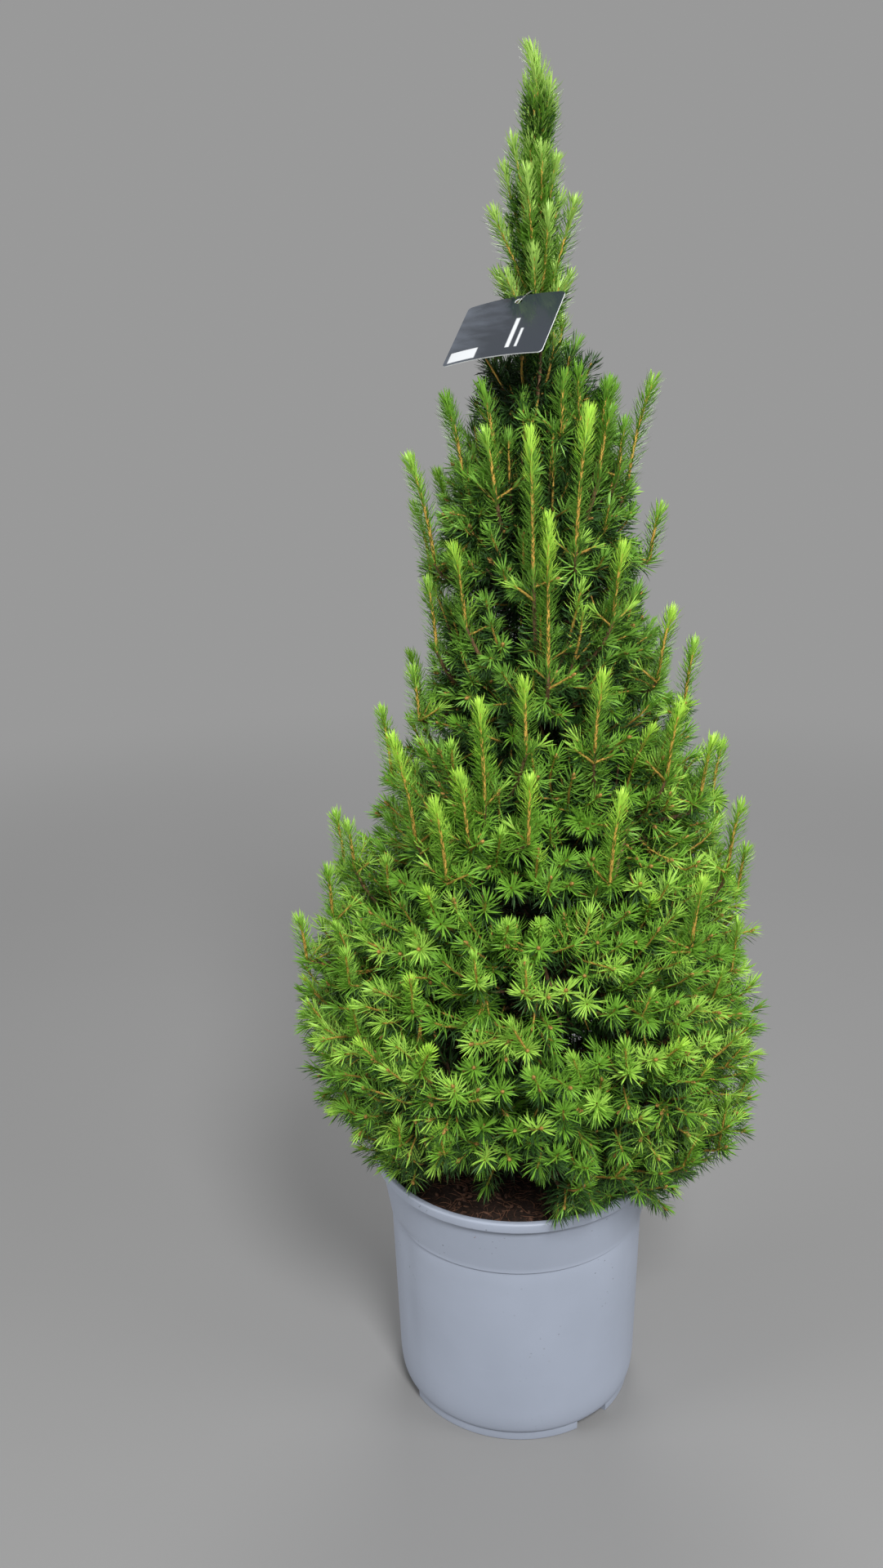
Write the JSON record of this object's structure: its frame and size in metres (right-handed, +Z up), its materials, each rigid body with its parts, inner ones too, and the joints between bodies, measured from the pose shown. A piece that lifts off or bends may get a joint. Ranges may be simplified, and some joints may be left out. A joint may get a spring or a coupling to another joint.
{
  "type": "potted dwarf spruce",
  "caption": "Potted dwarf Alberta spruce: a dense cone of short green needles on a whole trunk with boughs, in a tapered grey-blue plastic nursery pot with soil and a bare hanging plant label.",
  "frame": {"origin": "centre of the pot's flat underside, on the ground", "axes": "+Z up along the trunk, -Y towards the front of the plant, +X to its right"},
  "size_m": [0.3955, 0.3982, 1.093],
  "materials": {
    "pot_plastic": "matt moulded plastic with fine specks and light scuffs",
    "peat": "moist, crumbly, with fibres and bark chips",
    "bark": "rough, scaly young bark",
    "needles": "short soft needles, lime green at the shoot tips",
    "slate_card": "glossy dark slate card with a pale cut edge",
    "tie_plastic": "clear, smooth"
  },
  "bodies": {
    "root": {"bough_1_1": "bark", "bough_1_2": "bark", "bough_1_3": "bark", "bough_1_4": "bark", "bough_1_5": "bark", "bough_1_6": "bark", "bough_2_1": "bark", "bough_2_2": "bark", "bough_2_3": "bark", "bough_2_4": "bark", "bough_2_5": "bark", "bough_3_1": "bark", "bough_3_2": "bark", "bough_3_3": "bark", "bough_3_4": "bark", "bough_3_5": "bark", "bough_4_1": "bark", "bough_4_2": "bark", "bough_4_3": "bark", "bough_4_4": "bark", "foliage_1_1": "needles", "foliage_1_2": "needles", "foliage_1_3": "needles", "foliage_1_4": "needles", "foliage_1_5": "needles", "foliage_1_6": "needles", "foliage_2_1": "needles", "foliage_2_2": "needles", "foliage_2_3": "needles", "foliage_2_4": "needles", "foliage_2_5": "needles", "foliage_3_1": "needles", "foliage_3_2": "needles", "foliage_3_3": "needles", "foliage_3_4": "needles", "foliage_3_5": "needles", "foliage_4_1": "needles", "foliage_4_2": "needles", "foliage_4_3": "needles", "foliage_4_4": "needles", "foliage_5_1": "needles", "foliage_5_2": "needles", "foliage_5_3": "needles", "foliage_5_4": "needles", "foliage_6_1": "needles", "foliage_6_2": "needles", "foliage_6_3": "needles", "foliage_7_1": "needles", "foliage_7_2": "needles", "foliage_7_3": "needles", "foliage_8_1": "needles", "foliage_8_2": "needles", "foliage_8_3": "needles", "label_tie": "tie_plastic", "leader_shoot": "needles", "plant_label": "slate_card", "pot": "pot_plastic", "soil": "peat", "trunk": "bark"}
  },
  "joints": []
}
